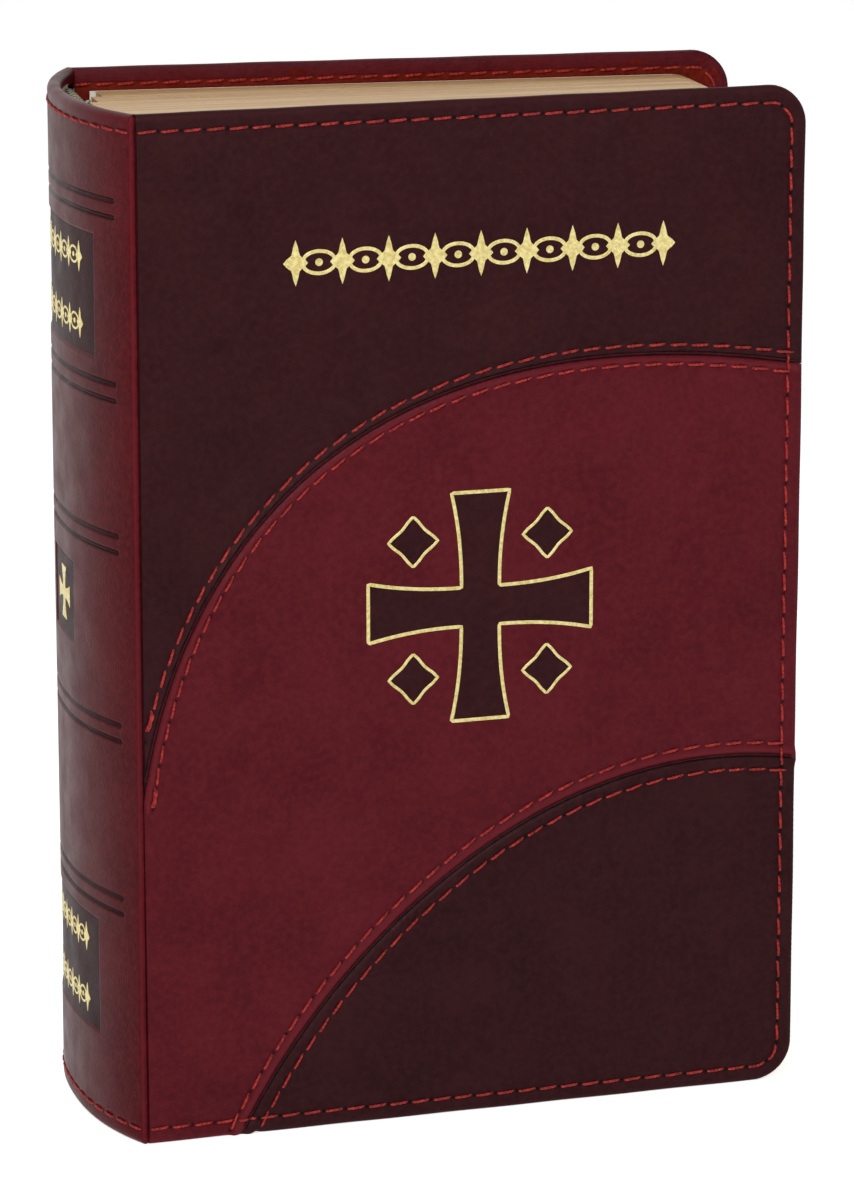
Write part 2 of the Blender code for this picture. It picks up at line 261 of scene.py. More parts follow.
def board_material():
    material, tree, shader = new_material("binder_board", (0.42, 0.38, 0.31), 0.9)
    colour = mix_colour(tree, spread(tree, noise(tree, 1200.0, 4.0), 0.3, 0.7), (0.30, 0.27, 0.22),
                        (0.52, 0.47, 0.40))
    tree.links.new(colour, shader.inputs["Base Color"])
    add_bump(tree, shader, noise(tree, 900.0, 5.0), 0.00008, 0.7)
    return material


def cloth_material():
    material, tree, shader = new_material("mull_cloth", (0.62, 0.58, 0.50), 0.9)
    weave = add(tree, "ShaderNodeTexBrick", Scale=700.0)
    weave.inputs["Color1"].default_value = (0.66, 0.62, 0.54, 1.0)
    weave.inputs["Color2"].default_value = (0.58, 0.54, 0.46, 1.0)
    weave.inputs["Mortar"].default_value = (0.30, 0.27, 0.22, 1.0)
    tree.links.new(scaled_position(tree, (1.0, 1.0, 1.0)), weave.inputs["Vector"])
    tree.links.new(weave.outputs["Color"], shader.inputs["Base Color"])
    add_bump(tree, shader, weave.outputs["Fac"], 0.0001, 0.6)
    return material


def headband_material():
    """Silk wound in gold and black turns across the spine."""
    material, tree, shader = new_material("headband_silk", (0.6, 0.42, 0.08), 0.45)
    stripes = add(tree, "ShaderNodeTexWave", Scale=150.0, Distortion=0.6, bands_direction="Y")
    tree.links.new(scaled_position(tree, (1.0, 1.0, 1.0)), stripes.inputs["Vector"])
    colour = mix_colour(tree, spread(tree, stripes.outputs["Fac"], 0.42, 0.5), (0.015, 0.012, 0.010),
                        (0.68, 0.48, 0.07))
    tree.links.new(colour, shader.inputs["Base Color"])
    fibres = noise(tree, 1.0, 2.0, 0.5, scaled_position(tree, (300.0, 5000.0, 300.0)))
    add_bump(tree, shader, fibres, 0.0001, 0.8)
    return material


MATERIALS = {
    "red_leather": leather("oxblood_leather", (0.062, 0.0040, 0.0075), (0.090, 0.0060, 0.0110),
                           (0.125, 0.0110, 0.0170), 0.45, 0.10),
    "dark_leather": leather("dark_leather", (0.023, 0.0045, 0.0060), (0.032, 0.0065, 0.0080),
                            (0.048, 0.0110, 0.0130), 0.45, 0.10),
    # The spine and hinge are the same leather as the covers; this darker, more saturated copy of it is
    # painted shade.
    "spine_leather": leather("spine_leather", (0.050, 0.0015, 0.0035), (0.074, 0.0024, 0.0052),
                             (0.120, 0.0090, 0.0140), 0.38, 0.12),
    "lining_leather": leather("inner_leather", (0.085, 0.0055, 0.0030), (0.135, 0.0100, 0.0055),
                              (0.190, 0.0220, 0.0110), 0.42, 0.04),
    "cut_edge": leather("polished_edge", (0.020, 0.0035, 0.0050), (0.030, 0.0055, 0.0070),
                        (0.060, 0.0100, 0.0120), 0.24, 0.6),
    "thread": thread_material(),
    "gold_foil": foil_material(),
    "gilt_pages": gilt_material(),
    "page": paper_material("page_paper", (0.83, 0.80, 0.72)),
    "paper": paper_material("endpaper", (0.80, 0.77, 0.68)),
    "board": board_material(),
    "cloth": cloth_material(),
    "headband": headband_material(),
}


# ---------------------------------------------------------------- surfaces

class CoverSurface:
    """The outer face of a cover: points (u, z), wrapped over its rounded edge."""

    def __init__(self, side, relief):
        self.side = side
        self.relief = relief

    def world(self, u, depth, z):
        x = HINGE_X + u * math.cos(TAPER) - depth * math.sin(TAPER)
        y = self.side * (HALF_SPINE - u * math.sin(TAPER) - depth * math.cos(TAPER))
        return np.stack([x, y, z], 1) * MM

    def place(self, points, lift):
        points = np.asarray(points, float)
        radius = CORNER - EDGE
        low = np.array([-1000.0, CORNER])
        high = np.array([COVER_WIDTH - CORNER, HEIGHT - CORNER])
        away = points - np.clip(points, low, high)
        length = np.maximum(np.hypot(*away.T), 1e-9)
        direction = away / length[:, None]
        over = np.maximum(length - radius, 0.0)
        turn = np.minimum(over / EDGE, math.pi)
        back = np.maximum(over - math.pi * EDGE, 0.0)
        height = lift + self.relief(points)
        out = (EDGE + height) * np.sin(turn) - back
        flat = points + direction * (out - over)[:, None]
        return self.world(flat[:, 0], EDGE - (EDGE + height) * np.cos(turn), flat[:, 1])


class InnerSurface(CoverSurface):
    """The inner face of a cover, which looks at the pages."""

    def place(self, points, lift):
        points = np.asarray(points, float)
        depth = COVER_THICKNESS + lift + self.relief(points)
        return self.world(points[:, 0], depth, points[:, 1])


class SpineSurface:
    """The spine's outer face: points (along its profile, z), wrapped over head and tail."""

    RUN = 60

    def __init__(self, relief):
        self.relief = relief
        y = np.linspace(-HALF_SPINE, HALF_SPINE, 541)
        x = HINGE_X - SPINE_BULGE * (1 - np.abs(y / HALF_SPINE) ** SPINE_CURVE)
        u = np.linspace(6.0, 0.1, self.RUN)
        ends = [(HINGE_X + u * math.cos(TAPER), -HALF_SPINE + u * math.sin(TAPER))]
        ends.append((ends[0][0][::-1], -ends[0][1][::-1]))
        x = np.concatenate([ends[0][0], x, ends[1][0]])
        y = np.concatenate([ends[0][1], y, ends[1][1]])
        self.along = self.measure(x, y)
        x, y = (self.rounded(values) for values in (x, y))
        self.x, self.y = x, y
        self.corner = self.along[len(u)]
        step = np.gradient(self.along)
        self.normal_x = -np.gradient(y) / step
        self.normal_y = np.gradient(x) / step
        size = np.hypot(self.normal_x, self.normal_y)
        self.normal_x /= size
        self.normal_y /= size

    @staticmethod
    def measure(x, y):
        steps = np.hypot(np.diff(x), np.diff(y))
        total = np.concatenate([[0.0], np.cumsum(steps)])
        return total - total[-1] / 2

    @staticmethod
    def rounded(values, reach=5):
        kernel = np.ones(2 * reach + 1) / (2 * reach + 1)
        padded = np.pad(values, reach, mode="reflect", reflect_type="odd")
        return np.convolve(padded, kernel, mode="valid")

    def place(self, points, lift):
        points = np.asarray(points, float)
        a, z = points[:, 0], points[:, 1]
        height = lift + self.relief(points)
        middle = HEIGHT / 2
        over = np.maximum(np.abs(z - middle) - (middle - EDGE), 0.0)
        turn = np.minimum(over / EDGE, math.pi)
        back = np.maximum(over - math.pi * EDGE, 0.0)
        depth = EDGE - (EDGE + height) * np.cos(turn)
        rise = (EDGE + height) * np.sin(turn) - back - over
        x = np.interp(a, self.along, self.x) - depth * np.interp(a, self.along, self.normal_x)
        y = np.interp(a, self.along, self.y) - depth * np.interp(a, self.along, self.normal_y)
        return np.stack([x, y, z + np.sign(z - middle) * rise], 1) * MM

    def at_y(self, y):
        """The place along the profile where it crosses y."""
        inner = slice(self.RUN, -self.RUN)
        return float(np.interp(y, self.y[inner], self.along[inner]))


# ---------------------------------------------------------------- curves in a surface

def bezier(curve, count=120):
    t = np.linspace(0.0, 1.0, count)[:, None]
    p = np.array(curve)
    return (1 - t) ** 3 * p[0] + 3 * t * (1 - t) ** 2 * p[1] + 3 * t * t * (1 - t) * p[2] + t ** 3 * p[3]


def left_of(path, closed=False):
    """Unit vectors to the left of a path at each of its points."""
    if closed:
        tangent = np.roll(path, -1, 0) - np.roll(path, 1, 0)
    else:
        tangent = np.gradient(path, axis=0)
    normal = np.stack([-tangent[:, 1], tangent[:, 0]], 1)
    return normal / np.maximum(np.hypot(*normal.T), 1e-9)[:, None]


def lengths(path):
    return np.concatenate([[0.0], np.cumsum(np.hypot(*np.diff(path, axis=0).T))])


def resample(path, spacing):
    along = lengths(path)
    count = max(int(round(along[-1] / spacing)), 2) + 1
    return at_length(path, np.linspace(0.0, along[-1], count))


def at_length(path, where):
    along = lengths(path)
    return np.stack([np.interp(where, along, path[:, 0]), np.interp(where, along, path[:, 1])], 1)


def distance_to(points, path):
    """Distance of each point to a path of straight pieces."""
    best = np.full(len(points), 1e9)
    for start, end in zip(path[:-1], path[1:]):
        step = end - start
        share = np.clip(((points - start) @ step) / max(step @ step, 1e-12), 0.0, 1.0)
        gap = points - start - share[:, None] * step
        best = np.minimum(best, np.hypot(*gap.T))
    return best


def border(inset, start=0.0):
    """The cover's outline from the hinge along the bottom, the fore-edge and the top."""
    radius = CORNER - inset
    turn = np.linspace(0.0, math.pi / 2, 14)
    centre_u = COVER_WIDTH - CORNER
    low = np.stack([centre_u + radius * np.sin(turn), CORNER - radius * np.cos(turn)], 1)
    high = np.stack([centre_u + radius * np.cos(turn), HEIGHT - CORNER + radius * np.sin(turn)], 1)
    return np.concatenate([[(start, inset)], low, high, [(start, HEIGHT - inset)]])


def flared_cross(reach, waist, flare, centre):
    """A plain cross whose arms widen to their ends."""
    t = np.linspace(0.0, 1.0, 12)
    arm = np.stack([reach + (waist - reach) * t, waist + (flare - waist) * (1 - t) ** 2.2], 1)
    arm = np.concatenate([arm, arm[-2::-1, ::-1]])
    turns = []
    for c, s in ((1, 0), (0, 1), (-1, 0), (0, -1)):
        turns.append(np.stack([arm[:, 0] * c - arm[:, 1] * s, arm[:, 0] * s + arm[:, 1] * c], 1))
    return np.concatenate(turns) + np.array(centre)


def star(centre, width, height, pinch=0.22):
    """A four-pointed lozenge with hollow sides."""
    points = []
    for quarter in range(4):
        for t in np.linspace(0.0, 1.0, 7)[:-1]:
            angle = (quarter + t) * math.pi / 2
            reach = 1 - (1 - pinch * 2.2) * math.sin(math.pi * t) ** 0.9
            points.append((centre[0] + width * reach * math.cos(angle),
                           centre[1] + height * reach * math.sin(angle)))
    return np.array(points)


# ---------------------------------------------------------------- relief

SEAM_PATHS = {name: bezier(curve) for name, curve in SEAMS.items()}


def seam_row(name, offset):
    path = SEAM_PATHS[name]
    return path + left_of(path) * offset


EDGE_ROW = border(STITCH_INSET, 1.1)
SEAM_ROWS = {(name, way): seam_row(name, way * ROW_OFFSET[name]) for name in SEAMS for way in (1, -1)}


def stitch_marks(path, start=0.2):
    """Lengths along a path where stitches begin, spread evenly from end to end."""
    stop = lengths(path)[-1] - STITCH_LENGTH - start
    return np.linspace(start, stop, int(round((stop - start) / STITCH_PITCH)) + 1)


def needle_holes(path):
    return at_length(path, stitch_marks(path) - (STITCH_PITCH - STITCH_LENGTH) / 2)


def groove(distance, depth, width):
    return -depth * np.exp(-(distance / width) ** 2)


def recess_shade(points, holes):
    """How deep each point lies in a needle hole, from 0 to 1; it sets the painted shade in the holes."""
    deep = np.zeros(len(points))
    for hole in holes:
        deep = np.maximum(deep, np.exp(-np.sum((points - hole) ** 2, 1) / 0.3 ** 2))
    return deep


def slow_waves(points):
    u, z = points.T
    return 0.05 * np.sin(u * 0.11 + 0.6) * np.sin(z * 0.07) + 0.03 * np.sin(u * 0.31 + z * 0.23)


def back_relief(points):
    sewn = distance_to(points, EDGE_ROW)
    return slow_waves(points) + groove(sewn, 0.22, 0.6)


def front_relief(points):
    height = back_relief(points)
    for row in SEAM_ROWS.values():
        height = height + groove(distance_to(points, row[::3]), 0.24, 0.55)
    for name, path in SEAM_PATHS.items():
        gap = distance_to(points, path[::2])
        crest = ROW_OFFSET[name] * 0.5
        height = height + 0.26 * np.exp(-((gap - crest) / (crest * 0.6)) ** 2)
        height = height - 0.3 * np.clip(1 - gap / 0.5, 0.0, 1.0) ** 2
    return height


def band_lines(points):
    """How deep each point lies in a pressed band line of the spine, from 0 to 1."""
    a, z = points.T
    inside = np.clip((BAND_END - np.abs(a)) / 0.35, 0.0, 1.0)
    deep = np.zeros(len(points))
    for middle in SPINE_BANDS:
        for way in (-0.5, 0.5):
            deep = np.maximum(deep, np.exp(-((z - middle - way * BAND_GAP) / 0.42) ** 4))
    return deep * inside


def spine_relief(points):
    a, z = points.T
    half = np.abs(a)
    height = 0.04 * np.sin(a * 0.2 + z * 0.05) - 0.5 * band_lines(points)
    for z0, z1, reach in LABEL_AREAS.values():
        depth = np.minimum(np.minimum(z - z0, z1 - z), reach - half)
        height = height - 0.28 * np.clip(depth / 0.4 + 0.5, 0.0, 1.0)
    for row in (STITCH_INSET, HEIGHT - STITCH_INSET):
        height = height + groove(np.abs(z - row), 0.2, 0.6)
    return height - 0.5 * np.clip((half + SPINE.corner - LAP) / 0.2 + 0.6, 0.0, 1.0)


def inner_relief(points):
    """Turned-in leather: a sewn groove and pleats fanned round each corner."""
    height = slow_waves(points) * 0.5 + groove(distance_to(points, EDGE_ROW), 0.12, 0.5) * 0.8
    for z in (CORNER, HEIGHT - CORNER):
        away = points - np.array([COVER_WIDTH - CORNER, z])
        reach = np.hypot(*away.T)
        outward = (away[:, 0] > 0) & ((away[:, 1] < 0) == (z < HEIGHT / 2))
        angle = np.arctan2(away[:, 1], away[:, 0])
        height = height + np.where(outward, 0.10 * np.sin(angle * 22) * np.clip(reach / 5, 0, 1), 0.0)
    return np.clip(height, -0.3, 0.1)


# ---------------------------------------------------------------- mesh building

def finish_piece(name, verts, faces, material, slot, body, replaces=()):
    mesh = bpy.data.meshes.new(name)
    mesh.from_pydata([tuple(v) for v in verts], [], faces)
    shell = bmesh.new()
    shell.from_mesh(mesh)
    bmesh.ops.recalc_face_normals(shell, faces=shell.faces)
    shell.to_mesh(mesh)
    shell.free()
    mesh.shade_smooth()
    mesh.set_sharp_from_angle(angle=SHARP_ANGLE)
    mesh.materials.append(MATERIALS[material])
    piece = bpy.data.objects.new(name, mesh)
    bpy.context.collection.objects.link(piece)
    if body:
        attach(piece, body)
    if replaces:
        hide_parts(*replaces)
    return piece


def set_attribute(piece, name, values):
    """Store a shading value per vertex; the values cover the outer skin and then the inner one."""
    layer = piece.data.attributes.new(name, "FLOAT", "POINT")
    layer.data.foreach_set("value", np.asarray(values, np.float32))


def inside_outline(points, outline):
    x, y = points.T
    inside = np.zeros(len(points), bool)
    for (x0, y0), (x1, y1) in zip(outline, np.roll(outline, -1, 0)):
        crosses = (y0 > y) != (y1 > y)
        if y0 != y1:
            inside ^= crosses & (x < (x1 - x0) * (y - y0) / (y1 - y0) + x0)
    return inside


def hex_grid(low, high, spacing):
    rows = np.arange(low[1], high[1], spacing * 0.866)
    points = []
    for index, y in enumerate(rows):
        xs = np.arange(low[0] + (index % 2) * spacing / 2, high[0], spacing)
        points.append(np.stack([xs, np.full(len(xs), y)], 1))
    return np.concatenate(points)


def fill_outline(outline, coarse, fine=None, features=(), band=1.6, extra=()):
    """Triangles over an outline: coarse points, fine points near features, and extra points."""
    low, high = outline.min(0), outline.max(0)
    groups = [hex_grid(low, high, coarse)]
    if fine:
        dense = hex_grid(low, high, fine)
        near = np.zeros(len(dense), bool)
        far = np.ones(len(groups[0]), bool)
        for path in features:
            near |= distance_to(dense, path) < band
            far &= distance_to(groups[0], path) > band
        groups = [groups[0][far], dense[near]]
    groups += [np.asarray(points) for points in extra if len(points)]
    points = np.concatenate(groups)
    closed = np.concatenate([outline, outline[:1]])
    keep = inside_outline(points, outline)
    points = points[keep]
    points = points[distance_to(points, closed) > (fine or coarse) * 0.45]
    everything = np.concatenate([outline, points])
    found = delaunay_2d_cdt([Vector(p) for p in everything], [], [list(range(len(outline)))], 1, 1e-5)
    flat = np.array([tuple(v) for v in found[0]])
    faces = [tuple(f) for f in found[2]]
    return flat, faces


def thick_sheet(name, surface, outline, thickness, material, slot, body, replaces=(), lift=0.0,
                coarse=1.8, fine=None, features=(), band=1.6, extra=(), painted_highlight=(), holes=()):
    """A closed sheet of leather, paper or foil laid over part of a surface."""
    flat, faces = fill_outline(outline, coarse, fine, features, band, extra)
    count = len(flat)
    edges = {}
    for face in faces:
        for a, b in zip(face, face[1:] + face[:1]):
            edges[(a, b)] = edges.get((a, b), 0) + 1
    rim = [(a, b) for a, b in edges if (b, a) not in edges]
    walls = [(b, a, a + count, b + count) for a, b in rim]
    under = [tuple(i + count for i in reversed(face)) for face in faces]
    outer = surface.place(flat, np.full(count, lift))
    inner = surface.place(flat, np.full(count, lift - thickness))
    verts = np.concatenate([outer, inner])
    piece = finish_piece(name, verts, faces + under + walls, material, slot, body, replaces)
    # Painted highlight along the given paths and painted shade in the given needle holes, stored per vertex
    # for the leather shader.
    highlight_mask = np.zeros(count)
    for path, reach in painted_highlight:
        highlight_mask = np.maximum(highlight_mask, np.exp(-(distance_to(flat, path) / reach) ** 2))
    set_attribute(piece, "painted_highlight", np.tile(highlight_mask, 2) * 0.8)
    set_attribute(piece, "painted_shade", np.tile(recess_shade(flat, holes), 2))
    return piece


def hole_points(holes):
    ring = [(0.0, 0.0)] + [(0.28 * math.cos(k * math.pi / 3), 0.28 * math.sin(k * math.pi / 3))
                           for k in range(6)]
    return (np.asarray(holes)[:, None, :] + np.array(ring)[None]).reshape(-1, 2)


def sweep(surface, path, section, closed=False):
    """A closed tube along a path; section(share) gives (sideways, lift) points round it."""
    count = len(path)
    left = left_of(path, closed)
    rings = []
    for i in range(count):
        ring = np.array(section(i / (count - 1)))
        points = path[i] + left[i] * ring[:, :1]
        rings.append(surface.place(points, ring[:, 1]))
    sides = len(rings[0])
    verts = np.concatenate(rings)
    faces = []
    for i in range(count if closed else count - 1):
        for k in range(sides):
            m = (k + 1) % sides
            j = (i + 1) % count
            faces.append((i * sides + k, i * sides + m, j * sides + m, j * sides + k))
    if not closed:
        faces.append(tuple(range(sides))[::-1])
        faces.append(tuple((count - 1) * sides + k for k in range(sides)))
    return verts, faces


def join_parts(parts):
    verts, faces, start = [], [], 0
    for part_verts, part_faces in parts:
        verts.append(part_verts)
        faces += [tuple(i + start for i in face) for face in part_faces]
        start += len(part_verts)
    return np.concatenate(verts), faces


def stitch(surface, path, start, lean, plump=1.0):
    """One stitch: a plump thread whose two ends dive into the leather."""
    share = np.linspace(-1.0, 1.0, 13)
    line = at_length(path, start + STITCH_LENGTH * (share + 1) / 2)
    line = line + left_of(line) * (lean * share)[:, None]

    def section(along):
        t = 2 * along - 1
        twist = 1 + 0.10 * math.sin(t * 14.0)
        radius = THREAD_RADIUS * plump * twist * (1 - 0.45 * t ** 6)
        lift = 0.18 * plump - 0.40 * abs(t) ** 5
        angles = np.linspace(0, 2 * math.pi, 9)[:-1]
        return [(radius * math.cos(a), lift + radius * math.sin(a)) for a in angles]

    return sweep(surface, line, section)


def stitch_row(name, surface, path, body, replaces=(), lean=0.12, tacked=False):
    """A row of slanted stitches; a tacked row starts with a thick bar of crossed thread."""
    marks = stitch_marks(path)
    parts = [stitch(surface, path, start, lean) for start in marks]
    if tacked:
        parts += [stitch(surface, path, marks[0] + shift, way * 0.25, 1.25)
                  for shift, way in ((0.0, -1), (0.5, 1))]
    verts, faces = join_parts(parts)
    return finish_piece(name, verts, faces, "thread", "thread", body, replaces)


def foil_line(surface, path, width, lift, closed=False):
    half = width / 2

    def section(_):
        return [(-half, lift), (-half * 0.7, lift + 0.045), (0.0, lift + 0.06), (half * 0.7, lift + 0.045),
                (half, lift), (half, lift - 0.05), (-half, lift - 0.05)]

    return sweep(surface, path, section, closed)


# ---------------------------------------------------------------- covers

WRAP = math.pi * EDGE + 1.2


def lengthened(path, extra=5.0):
    """A path carried on straight past both its ends."""
    first = (path[0] - path[1]) / np.hypot(*(path[1] - path[0]))
    last = (path[-1] - path[-2]) / np.hypot(*(path[-1] - path[-2]))
    return resample(np.concatenate([[path[0] + first * extra], path, [path[-1] + last * extra]]), 0.5)


def region_outline(name, gap=0.03):
    """Cut the flattened cover along the seams and return one region's outline."""
    outer = resample(border(EDGE - WRAP, LAP), 0.7)
    seam_up, seam_low = (lengthened(SEAM_PATHS[key]) for key in ("upper", "lower"))
    up_left, low_left = left_of(seam_up), left_of(seam_low)

    def within(path):
        keep = inside_outline(path, outer)
        return path[keep]

    if name == "upper":
        cut = within(seam_up + up_left * gap)
        cut = cut[cut[:, 0] > LAP]
        edge = outer[outer[:, 1] > cut[-1, 1] + 0.3]
        return np.concatenate([cut, edge])
    if name == "lower":
        cut = within(seam_low - low_left * gap)
        edge = outer[(outer[:, 1] < cut[-1, 1] - 0.3) & (outer[:, 0] > cut[0, 0] + 0.3)]
        return np.concatenate([edge, cut[::-1]])
    top = within(seam_up - up_left * gap)
    top = top[top[:, 0] > LAP]
    low = within(seam_low + low_left * gap)
    middle = outer[(outer[:, 1] > low[-1, 1] + 0.3) & (outer[:, 1] < top[-1, 1] - 0.3)]
    middle = middle[middle[:, 0] > COVER_WIDTH - 3]
    bottom = outer[(outer[:, 1] < 0.0) & (outer[:, 0] < low[0, 0] - 0.3)]
    return np.concatenate([bottom, low, middle, top[::-1]])


def front_cover():
    surface = CoverSurface(-1, front_relief)
    rows = list(SEAM_ROWS.values())
    holes = np.concatenate([needle_holes(EDGE_ROW)] + [needle_holes(row) for row in rows])
    features = [EDGE_ROW, SEAM_PATHS["upper"][::3], SEAM_PATHS["lower"][::3]]
    features += [row[::3] for row in rows] + [border(0.0, LAP)]
    # Paths where a highlight is painted: the cover's rounded edge and a strip beside each seam.
    painted_highlight = [(border(0.2, LAP), 0.5), (seam_row("upper", -0.9), 0.5), (seam_row("lower", 1.2), 0.5)]
    finish = {"upper": "dark_leather", "centre": "red_leather", "lower": "dark_leather"}
    for name, material in finish.items():
        thick_sheet(f"front_{name}_leather", surface, region_outline(name), LEATHER, material, material,
                    "front_cover", (f"front_{name}_panel",), coarse=2.2, fine=0.55, features=features,
                    extra=[hole_points(holes)], painted_highlight=painted_highlight, holes=holes)
    stitch_row("front_edge_stitches", surface, EDGE_ROW, "front_cover", ("front_edge_thread",))
    for (name, way), row in SEAM_ROWS.items():
        label = "outer" if way > 0 else "inner"
        node = f"{name}_seam_{label}_thread"
        stitch_row(f"{name}_seam_{label}_stitches", surface, clip_to_cover(row), "front_cover", (node,),
                   tacked=name == "upper")
    for name, path in SEAM_PATHS.items():
        seam_cord(name, surface, clip_to_cover(path))
    emblem(surface)
    ornament(surface)


def clip_to_cover(path):
    keep = (path[:, 0] > 1.4) & (path[:, 0] < COVER_WIDTH - 0.9) & (path[:, 1] > 0.9)
    return path[keep]


def seam_cord(name, surface, path):
    """The thin folded leather edge that lies in the seam."""
    path = resample(path, 1.0)

    def section(_):
        angles = np.linspace(0, 2 * math.pi, 9)[:-1]
        return [(0.30 + 0.24 * math.cos(a), 0.16 + 0.2 * math.sin(a)) for a in angles]

    verts, faces = sweep(surface, path, section)
    finish_piece(f"{name}_seam_fold", verts, faces, "cut_edge", "red_leather", "front_cover",
                 (f"{name}_seam_welt",))


def emblem(surface):
    cross = flared_cross(EMBLEM_REACH, 3.4, 5.2, EMBLEM_CENTRE)
    thick_sheet("emblem_cross_patch", surface, resample_closed(cross, 0.8), 0.06, "dark_leather",
                "dark_leather", "front_cover", ("emblem_cross_inlay",), lift=0.05)
    line = foil_line(surface, resample_closed(cross, 0.5), 0.62, 0.07, True)
    finish_piece("emblem_cross_outline", *line, "gold_foil", "gold_foil", "front_cover",
                 ("emblem_cross_foil",))
    quarter = EMBLEM_REACH * 0.6
    for index, (sx, sz) in enumerate(((1, 1), (-1, 1), (-1, -1), (1, -1)), start=1):
        centre = (EMBLEM_CENTRE[0] + sx * quarter, EMBLEM_CENTRE[1] + sz * quarter)
        shape = star(centre, 4.4, 4.4, 0.3)
        thick_sheet(f"emblem_star_{index}", surface, shape, 0.06, "dark_leather", "dark_leather",
                    "front_cover", (f"emblem_lozenge_{index}",), lift=0.05)
        line = foil_line(surface, resample_closed(shape, 0.4), 0.5, 0.07, True)
        finish_piece(f"emblem_star_outline_{index}", *line, "gold_foil", "gold_foil", "front_cover",
                     (f"emblem_lozenge_foil_{index}",))


def resample_closed(path, spacing):
    return resample(np.concatenate([path, path[:1]]), spacing)[:-1]


def filled(surface, shape, lift):
    """A flat raised shape of foil."""
    count = len(shape)
    top = surface.place(shape, np.full(count, lift + 0.05))
    low = surface.place(shape, np.full(count, lift - 0.05))
    middle = surface.place(shape.mean(0)[None], np.array([lift + 0.06]))
    faces = [(i, (i + 1) % count, 2 * count) for i in range(count)]
    faces += [(i + count, (i + 1) % count + count, (i + 1) % count, i) for i in range(count)]
    faces.append(tuple(range(2 * count - 1, count - 1, -1)))
    return np.concatenate([top, low, middle]), faces


def star_row(surface, x0, x1, z, height, count, lift):
    """Stars joined by small arches, with a dot over and under each arch."""
    parts = []
    pitch = (x1 - x0) / count
    for i in range(count):
        x = x0 + pitch * (i + 0.5)
        parts.append(filled(surface, star((x, z), height * 0.55, height), lift))
        if i == count - 1:
            continue
        t = np.linspace(0.0, math.pi, 13)
        for way in (1, -1):
            arch = np.stack([x + pitch / 2 - pitch * 0.34 * np.cos(t),
                             z + way * (0.25 + height * 0.42 * np.sin(t))], 1)
            parts.append(foil_line(surface, arch, height * 0.16, lift))
        dot = np.stack([x + pitch / 2 + height * 0.17 * np.cos(2 * t[:-1]),
                        z + height * 0.17 * np.sin(2 * t[:-1])], 1)
        parts.append(filled(surface, dot, lift))
    return parts


def ornament(surface):
    parts = star_row(surface, *ORNAMENT_X, ORNAMENT_Z, 3.9, 9, 0.03)
    finish_piece("title_ornament", *join_parts(parts), "gold_foil", "gold_foil", "front_cover",
                 ("title_ornament_foil",))


def back_cover():
    surface = CoverSurface(1, back_relief)
    holes = needle_holes(EDGE_ROW)
    outline = resample(border(EDGE - WRAP, LAP), 0.7)
    # A highlight is painted along the cover's rounded edge.
    thick_sheet("back_leather", surface, outline, LEATHER, "red_leather", "red_leather", "back_cover",
                ("back_panel",), coarse=2.2, fine=0.55, features=[EDGE_ROW, border(0.0, LAP)],
                extra=[hole_points(holes)], painted_highlight=[(border(0.2, LAP), 0.5)], holes=holes)
    stitch_row("back_edge_stitches", surface, EDGE_ROW, "back_cover", ("back_edge_thread",))


def cover_lining(name, side):
    """The turned-in leather and the sewing that shows inside a cover."""
    surface = InnerSurface(side, lambda points: np.minimum(inner_relief(points), 0.05) - 0.03)
    outer = resample(border(1.3, 1.6), 0.8)
    window = resample(border_window(TURNED_IN_WIDTH), 1.5)
    outline = np.concatenate([outer, window[::-1]])
    body = f"{name}_cover"
    thick_sheet(f"{name}_turned_in_leather", surface, outline, 0.3, "lining_leather", "red_leather", body,
                (f"{name}_turn_in",), coarse=1.8, fine=0.6, features=[EDGE_ROW])
    stitch_row(f"{name}_inner_stitches", surface, EDGE_ROW, body)


def border_window(width):
    """The inner edge of the turned-in leather, from the hinge side round to it again."""
    inner = COVER_WIDTH - width
    return np.array([(1.6, width), (inner - 3, width), (inner - 0.9, width + 0.9), (inner, width + 3),
                     (inner, HEIGHT - width - 3), (inner - 0.9, HEIGHT - width - 0.9),
                     (inner - 3, HEIGHT - width), (1.6, HEIGHT - width)])


# ---------------------------------------------------------------- spine

def grid_sheet(name, surface, columns, rows, thickness, material, slot, body, replaces=()):
    """A closed sheet on a grid of places along the spine's profile and heights."""
    wide, tall = len(columns), len(rows)
    flat = np.stack(np.meshgrid(columns, rows), -1).reshape(-1, 2)
    count = len(flat)
    faces = []
    for j in range(tall - 1):
        for i in range(wide - 1):
            k = j * wide + i
            faces.append((k, k + 1, k + wide + 1, k + wide))
    under = [tuple(i + count for i in reversed(face)) for face in faces]
    loop = list(range(wide)) + [j * wide + wide - 1 for j in range(1, tall)]
    loop += [(tall - 1) * wide + i for i in range(wide - 2, -1, -1)]
    loop += [j * wide for j in range(tall - 2, 0, -1)]
    walls = [(b, a, a + count, b + count) for a, b in zip(loop, loop[1:] + loop[:1])]
    verts = np.concatenate([surface.place(flat, np.zeros(count)),
                            surface.place(flat, np.full(count, -thickness))])
    piece = finish_piece(name, verts, faces + under + walls, material, slot, body, replaces)
    # Painted highlight at the head, the tail and the spine's corners, and painted shade in the pressed band
    # lines.
    highlight_mask = 0.5 * np.exp(-((np.abs(flat[:, 1] - HEIGHT / 2) - HEIGHT / 2) / 1.2) ** 2)
    corner_highlight = 0.7 * np.exp(-((np.abs(flat[:, 0]) + surface.corner) / 0.35) ** 2)
    set_attribute(piece, "painted_highlight", np.tile(np.maximum(highlight_mask, corner_highlight), 2))
    set_attribute(piece, "painted_shade", np.tile(0.75 * band_lines(flat), 2))
    return piece


